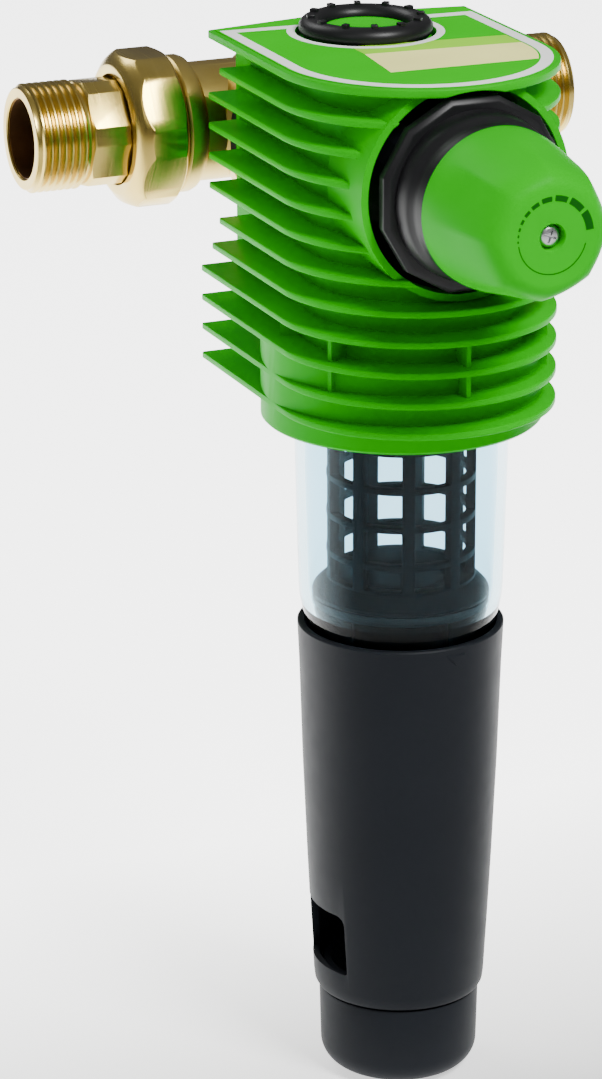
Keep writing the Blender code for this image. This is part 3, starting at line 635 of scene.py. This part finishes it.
def dial():
    """The pressure scale on the knob's tip: a thin arc below and growing dashes above."""

    def patch(name, inner, outer, start, end, steps):
        """A thin raised piece of a ring. Angles in degrees, from +X, upward positive."""
        outline = arc((0, 0), outer, start, end, steps) + arc((0, 0), inner, end, start, steps)
        faces = [[(x, y - KNOB_TIP, z) for x, z in outline] for y in (0.05, -0.06)]
        return place(stack(name, faces, REDUCER), "knob", DIAL_INK, "green_plastic")

    patch("dial_arc", DIAL_R - 0.12, DIAL_R + 0.16, 188.0, 346.0, 40)
    count = 10
    angle = 183.0
    for i in range(count):
        share = (i / (count - 1)) ** 1.6
        length = 3.5 + 24.0 * share
        thick = 0.35 + 1.9 * share
        patch(f"dial_dash_{i + 1}", DIAL_R - 0.1, DIAL_R + thick, angle - length, angle, 8)
        angle -= length + 5.2


def knob_screw():
    """The cross-recessed screw sunk in the knob."""
    profile = [(1.2, -88.6), (1.2, -97.9), (3.1, -97.9), (3.3, -98.1), (3.3, -99.0), (2.9, -99.6),
               (2.2, -99.9), (1.0, -100.05)]
    screw = lathe("knob_screw_head", profile, "Y", REDUCER, 48)
    slots = []
    for quarter in range(2):
        slot = box("slot", (-1.9, -101.0, -0.32), (1.9, -99.2, 0.32))
        turn = Matrix.Rotation(math.radians(20 + 90 * quarter), 4, "Y")
        slot.matrix_world = Matrix.Translation(REDUCER) @ turn
        slots.append(slot)
    combine(screw, slots, "DIFFERENCE")
    place(screw, "knob", STEEL, "steel", "knob_screw")


def clear_cup():
    """The clear cup: flanged rim, tapered wall, rounded floor and drain neck."""
    outer = [(33.7, -58.8), (33.7, -62.3), (32.95, -62.6), (32.6, -90.0), (31.6, -128.0),
             (31.4, -132.0), (31.0, -135.0), (30.3, -138.5), (28.9, -142.5), (26.6, -147.0),
             (23.6, -151.5), (20.0, -155.5), (16.6, -159.0), (14.6, -162.0), (14.0, -165.0),
             (14.0, -178.0)]
    inner = [(10.5, -178.0), (10.5, -165.5), (11.4, -161.5), (13.6, -158.0), (17.0, -154.3),
             (20.8, -150.0), (23.8, -145.4), (26.2, -140.8), (27.6, -136.6), (28.3, -132.0),
             (28.6, -128.0), (29.5, -90.0), (29.7, -58.8)]
    cup = lathe("clear_cup_moulding", outer + inner, "Z", AXIS, 128, closed=True)
    place(cup, "housing", CLEAR, "clear_plastic", "clear_cup", sharp=50)


def cage():
    """The black cage: a neck, rows of windows all round, and a flared lower flange."""
    per_window = 9
    per_rib = 3
    steps = per_window + per_rib
    columns = CAGE_COLUMNS * steps
    first = CAGE_TURN - math.tau / columns * per_window / 2
    angles = [first + math.tau * i / columns for i in range(columns)]
    heights = [CAGE_LOW]
    for row in reversed(range(CAGE_ROWS)):
        top = ROW_TOP - ROW_PITCH * row
        heights += [max(top - ROW_OPEN, ROW_FLOOR), top]
    heights.append(CAGE_TOP)
    inner_r = CAGE_R - CAGE_WALL
    neck = [(CAGE_R, CAGE_TOP), (17.1, CAGE_TOP + 1.2), (17.1, -63.0), (14.6, -63.0),
            (14.6, CAGE_TOP + 1.0), (inner_r, CAGE_TOP)]
    foot = [(inner_r, CAGE_LOW), (13.0, -128.2), (13.0, -156.0), (15.0, -156.0), (15.0, -132.0),
            (27.5, -132.0), (27.5, -130.9), (CAGE_R, CAGE_LOW)]
    shape = bmesh.new()

    def ring(radius, z):
        return [shape.verts.new(to_world("Z", radius, a, z)) for a in angles]

    outer = [ring(CAGE_R, z) for z in heights]
    inner = [ring(inner_r, z) for z in heights]
    for chain, ends in ((neck, (outer[-1], inner[-1])), (foot, (inner[0], outer[0]))):
        rings = [ends[0]] + [ring(r, z) for r, z in chain[1:-1]] + [ends[1]]
        for low, high in zip(rings, rings[1:]):
            for i in range(columns):
                j = (i + 1) % columns
                shape.faces.new((low[i], low[j], high[j], high[i]))

    def is_open(row, i):
        return row % 2 == 1 and i % steps < per_window

    for row in range(len(heights) - 1):
        for i in range(columns):
            j = (i + 1) % columns
            near, far = (outer[row], outer[row + 1]), (inner[row], inner[row + 1])
            if not is_open(row, i):
                for low, high in (near, far):
                    shape.faces.new((low[i], low[j], high[j], high[i]))
                continue
            for low, high in ((near[0], far[0]), (near[1], far[1])):
                shape.faces.new((low[i], low[j], high[j], high[i]))
            for edge, beside in ((i, (i - 1) % columns), (j, j)):
                if not is_open(row, beside):
                    shape.faces.new((near[0][edge], near[1][edge], far[1][edge], far[0][edge]))
    made = bevel(object_from("filter_cage_moulding", shape, AXIS), 0.3, 50, 2)
    place(made, "housing", CAGE_BLACK, "black_plastic", "filter_cage", sharp=35)


def cage_seal():
    """The seal ring below the cage's flange."""
    profile = [(27.6, -132.4), (27.6, -133.8), (27.1, -134.9), (26.2, -135.7), (25.0, -136.0),
               (20.0, -136.0), (20.0, -132.4)]
    ring = lathe("cage_seal_ring", profile, "Z", AXIS, closed=True)
    place(ring, "housing", RUBBER, "rubber", "cage_seal")


def bell():
    """The long black bell, with a round-cornered window on each side."""
    outer = [(31.6, -142.0), (32.0, -142.5), (31.7, -149.0), (31.4, -155.5), (30.4, -187.5),
             (29.0, -220.0), (27.9, -242.0), (26.9, -260.0), (26.6, -262.4), (25.9, -263.7),
             (25.2, -264.0)]
    inner = [(24.6, -264.0), (25.7, -242.0), (26.8, -220.0), (27.3, -207.0), (28.2, -187.5),
             (29.2, -155.5), (29.7, -142.5), (30.0, -142.0)]
    body = lathe("bell_moulding", outer + inner, "Z", AXIS, 128, closed=True)
    corner = 3.0
    high = [(WINDOW_HALF - corner, WINDOW_TOP - corner), (-WINDOW_HALF + corner, WINDOW_TOP - corner)]
    low = [(-WINDOW_HALF + 1, WINDOW_LOW + 1), (WINDOW_HALF - 1, WINDOW_LOW + 1)]
    outline = (arc(high[0], corner, 0, 90) + arc(high[1], corner, 90, 180)
               + arc(low[0], 1.0, 180, 270) + arc(low[1], 1.0, 270, 360))
    cuts = []
    for side in (-1, 1):
        faces = [[(side * x, y, z) for y, z in outline] for x in (20.0, 36.0)]
        cuts.append(stack("window", faces, AXIS))
    combine(body, cuts, "DIFFERENCE")
    place(bevel(body, 0.25, 50, 2), "drain_handle", BLACK, "black_plastic", "bell", sharp=30)


def pointer():
    """A small raised triangle on the bell's shoulder, which shows where the drain is shut."""
    turn = math.radians(-82.0)
    spots = ((-3.4, -144.4), (3.4, -144.4), (0.0, -147.6))
    faces = [[to_world("Z", radius, turn + across / radius, z) for across, z in spots]
             for radius in (31.2, 32.2)]
    made = bevel(stack("bell_pointer", faces, AXIS), 0.2, 30, 2)
    place(made, "drain_handle", BLACK, "black_plastic")


def drain_foot():
    """The foot below the bell, with a rounded bottom edge and its outlet underneath."""
    rounded = arc((24.75 - 8.0, -291.4 + 8.0), 8.0, 0, -90, 14)
    profile = [(23.7, -256.0), (23.7, -264.6), (25.0, -264.8), (25.2, -265.4)] + rounded
    profile += [(9.4, -291.4), (9.0, -291.0), (9.0, -288.8), (16.0, -288.8)]
    profile += [(19.4, -287.6), (21.6, -284.8), (22.2, -282.0), (21.6, -256.0)]
    foot = lathe("drain_foot_moulding", profile, "Z", AXIS, 128, closed=True)
    place(foot, "drain_handle", BLACK, "black_plastic", "drain_foot", sharp=32)


def hex_bar(low, high, radius, lean=0.0):
    """A helper hexagonal bar along X, with a small flat on each corner. `lean` is in degrees."""
    half = CORNER_DEG / 2
    angles = [math.radians(60 * i + lean + part) for i in range(6) for part in (-half, half)]
    return stack("hex", [[to_world("X", radius, angle, x) for angle in angles] for x in (low, high)])


def union_nut(name, side, body):
    """A hexagonal union nut with a cone towards the tail."""
    blank = [(22.4, NUT_BACK), (23.0, NUT_BACK + 0.2), (NUT_CORNER_R + 0.2, NUT_BACK + 1.8),
             (NUT_CORNER_R + 0.2, NUT_FACE - 5.0), (24.3, NUT_FACE - 3.7), (23.0, NUT_FACE - 2.0),
             (20.5, NUT_FACE - 0.2), (20.0, NUT_FACE)]
    nut = lathe(f"{name}_union_nut_turned", [(r, side * x) for r, x in blank], "X")
    ends = sorted((side * (NUT_BACK - 2), side * (NUT_FACE + 2)))
    combine(nut, [hex_bar(ends[0], ends[1], NUT_CORNER_R)], "INTERSECT")
    bore = [(21.3, NUT_BACK - 2), (21.3, 56.9), (17.3, 56.9), (17.3, NUT_FACE + 1)]
    combine(nut, [lathe("cut", [(r, side * x) for r, x in bore], "X")], "DIFFERENCE")
    place(bevel(nut, 0.25, 30, 2), body, BRASS_X, "brass", f"{name}_union_nut", sharp=26)


def union_tail(name, side):
    """A tail with a collar in the nut, a hexagon with round shoulders, and a male pipe thread."""
    collar = [(20.4, 52.6), (20.4, 56.6), (15.3, 56.8), (15.3, 73.0)]
    count = 7
    start, end = 74.4, TAIL_END - 1.4
    pitch = (end - start) / count
    threads = []
    for i in range(count):
        base = start + pitch * i
        threads += [(15.7, base + 0.1 * pitch), (16.2, base + 0.3 * pitch),
                    (TAIL_THREAD_R, base + 0.5 * pitch), (TAIL_THREAD_R, base + 0.72 * pitch),
                    (16.2, base + 0.92 * pitch)]
    tip = [(15.9, TAIL_END - 0.7), (15.9, TAIL_END - 0.2), (15.6, TAIL_END),
           (PIPE_BORE + 0.4, TAIL_END), (PIPE_BORE, TAIL_END - 0.4), (PIPE_BORE, 52.6)]
    profile = [(r, side * x) for r, x in collar + threads + tip]
    tail = lathe(f"{name}_union_tail_turned", profile, "X", closed=True)
    place(tail, "housing", BRASS_X, "brass", f"{name}_union_tail", sharp=30)
    flats = hex_bar(*sorted((side * 57.2, side * 73.2)), TAIL_HEX_R, TAIL_HEX_LEAN)
    limit = [(TAIL_HEX_R + 1.0, 57.0), (TAIL_HEX_R + 1.0, 71.6), (TAIL_HEX_R - 1.4, 73.4)]
    combine(flats, [lathe("limit", [(r, side * x) for r, x in limit], "X")], "INTERSECT")
    combine(flats, [rod(15.2, *sorted((side * 56.0, side * 75.0)), "X")], "DIFFERENCE")
    flats.name = f"{name}_tail_hexagon"
    place(bevel(flats, 0.2, 15, 2), "housing", BRASS_X, "brass", sharp=20)
    # A thin dark brown sheet just inside the bore: painted shade down the pipe.
    shade_sleeve = rod(PIPE_BORE - 0.04, *sorted((side * 53.0, side * (TAIL_END - 0.9))), "X")
    hole = rod(PIPE_BORE - 0.30, *sorted((side * 50.0, side * (TAIL_END + 5.0))), "X")
    combine(shade_sleeve, [hole], "DIFFERENCE")
    shade_sleeve.name = f"{name}_bore_shade_sheet"
    place(shade_sleeve, "housing", BORE_SHADE, "brass")


def connection_flange():
    """The brass body in the pipe: a disc, a hub behind it and a turned port on each side."""
    hub = [(DISC_R - 1.2, DISC_FRONT), (DISC_R, DISC_FRONT + 1.2), (DISC_R, DISC_BACK - 1.2),
           (DISC_R - 1.2, DISC_BACK), (HUB_R + 1.0, DISC_BACK), (HUB_R, DISC_BACK + 1.0),
           (HUB_R, HUB_BACK - 4), (HUB_R - 1.0, HUB_BACK - 1.4), (HUB_R - 3.4, HUB_BACK)]
    body = lathe("connection_flange_casting", hub, "Y")
    half = [(18.7, 0.0), (18.7, 36.0), (19.4, 36.8), (21.0, 37.6), (21.6, 39.0), (21.6, 42.4),
            (21.0, 43.2), (19.3, 43.6)]
    for turn in range(PORT_TURNS):
        at = PORT_THREAD + THREAD_PITCH * turn
        half += [(19.3, at), (20.6, at + THREAD_PITCH * 0.4), (20.6, at + THREAD_PITCH * 0.6)]
    half += [(19.3, PORT_THREAD + THREAD_PITCH * PORT_TURNS), (19.0, 50.0)]
    mirrored = [(r, -x) for r, x in reversed(half[1:])]
    combine(body, [lathe("ports", mirrored + half, "X")], "UNION")
    cuts = []
    for side in (-1, 1):
        cuts.append(rod(PIPE_BORE, *sorted((side * 6.0, side * 51.0)), "X"))
        cuts.append(rod(4.5, DISC_FRONT - 1, 0, "Y", (side * 16.5, 0, 0), 32))
        for up in (-1, 1):
            at = (side * BOLT_X, 0, up * BOLT_Z)
            cuts.append(rod(2.5, DISC_FRONT - 1, DISC_BACK + 0.5, "Y", at, 32))
            cuts.append(rod(4.2, DISC_BACK - 0.6, 2, "Y", at, 32))
    combine(body, cuts, "DIFFERENCE")
    place(body, "housing", BRASS_CAST, "brass", "connection_flange", sharp=35)


def paint_nodes():
    """Gives every CAD node that stays its own material."""
    skins = {
        STEEL: ["flange_bolt_1", "flange_bolt_2", "flange_bolt_3", "flange_bolt_4", "bell_screw",
                "reducer_spring"],
        RUBBER: ["flange_gasket", "inlet_union_gasket", "outlet_union_gasket", "diaphragm",
                 "seat_seal", "cup_seal"],
        BRASS_CAST: ["adjusting_spindle", "spring_plate", "diaphragm_plate", "valve_seat",
                     "valve_stem", "bell_drive"],
        CERAMIC: ["drain_seat_disc", "drain_turning_disc"],
        MESH: ["filter_mesh"],
        BLACK: ["head_body", "cup_nut", "drain_body", "disc_spindle", "bell_web"],
    }
    for skin, names in skins.items():
        for name in names:
            node = frame["nodes"][name]
            for slot in node.material_slots:
                slot.material = skin


# ---------------------------------------------------------------- stage, light and camera

def stage():
    """A plain pale floor under the foot, lit from within behind the filter."""
    shape = bmesh.new()
    bmesh.ops.create_grid(shape, x_segments=8, y_segments=8, size=6.0)
    mesh = bpy.data.meshes.new("floor")
    shape.to_mesh(mesh)
    shape.free()
    floor = bpy.data.objects.new("floor", mesh)
    floor.location = (0, 0, FLOOR_Z - 0.0005)
    bpy.context.scene.collection.objects.link(floor)
    made = Nodes("floor_paper")
    made.colour(made.ramp(made.noise(3.0), ((0.3, (0.92, 0.92, 0.92)), (0.7, (0.95, 0.95, 0.95)))))
    split = made.tree.nodes.new("ShaderNodeSeparateXYZ")
    made.link(made.coord.outputs["Object"], split.inputs["Vector"])
    glow = made.span(split.outputs["Y"], 0.0, GLOW)
    glow.node.inputs["From Min"].default_value = GLOW_FROM
    glow.node.inputs["From Max"].default_value = GLOW_FULL
    made.link(glow, made.shader.inputs["Emission Strength"])
    made.set(Roughness=0.9, Emission_Color=(1.0, 1.0, 1.0, 1.0))
    floor.data.materials.append(made.material)


def area_light(name, at, target, size, power):
    """A square soft light that faces a target."""
    data = bpy.data.lights.new(name, "AREA")
    data.size = size
    data.energy = power
    light = bpy.data.objects.new(name, data)
    light.location = at
    aim = Vector(target) - Vector(at)
    light.rotation_euler = aim.to_track_quat("-Z", "Y").to_euler()
    bpy.context.scene.collection.objects.link(light)


def world():
    """A studio room: dim at the horizon and bright overhead."""
    made = bpy.data.worlds.new("studio")
    made.use_nodes = True
    tree = made.node_tree
    coord = tree.nodes.new("ShaderNodeTexCoord")
    split = tree.nodes.new("ShaderNodeSeparateXYZ")
    ramp = tree.nodes.new("ShaderNodeValToRGB")
    ramp.color_ramp.elements[0].color = (0.35, 0.35, 0.35, 1.0)
    ramp.color_ramp.elements[1].position = 0.8
    ramp.color_ramp.elements[1].color = (1.0, 1.0, 1.0, 1.0)
    tree.links.new(coord.outputs["Generated"], split.inputs["Vector"])
    tree.links.new(split.outputs["Z"], ramp.inputs["Fac"])
    tree.links.new(ramp.outputs["Color"], tree.nodes["Background"].inputs["Color"])
    tree.nodes["Background"].inputs["Strength"].default_value = 0.26
    bpy.context.scene.world = made


def lights():
    """Soft studio light: a large key in front and above, a weak fill on the left and a rim."""
    middle = (0, BOWL_Y * MM, -0.1)
    area_light("key", (0.35, -1.3, 1.35), middle, 0.6, 44.0)
    area_light("fill", (-1.2, -1.0, 0.9), middle, 0.9, 3.0)
    area_light("rim", (-0.5, 1.2, 1.2), middle, 0.8, 10.0)


def camera():
    """A long lens in front of the filter, to its left and above it."""
    data = bpy.data.cameras.new("camera")
    data.lens = CAMERA_LENS
    data.sensor_width = 36.0
    data.shift_x, data.shift_y = CAMERA_SHIFT
    made = bpy.data.objects.new("camera", data)
    made.location = CAMERA_AT
    made.rotation_euler = (math.pi / 2 - CAMERA_PITCH, 0.0, CAMERA_YAW)
    bpy.context.scene.collection.objects.link(made)
    bpy.context.scene.camera = made


hood()
label()
month_ring()
ring_hub()
reducer_bonnet()
adjusting_knob()
dial()
knob_screw()
clear_cup()
cage()
cage_seal()
bell()
pointer()
drain_foot()
for END, SIDE in (("inlet", -1), ("outlet", 1)):
    union_nut(END, SIDE, f"{END}_nut")
    union_tail(END, SIDE)
connection_flange()
paint_nodes()
stage()
world()
lights()
camera()
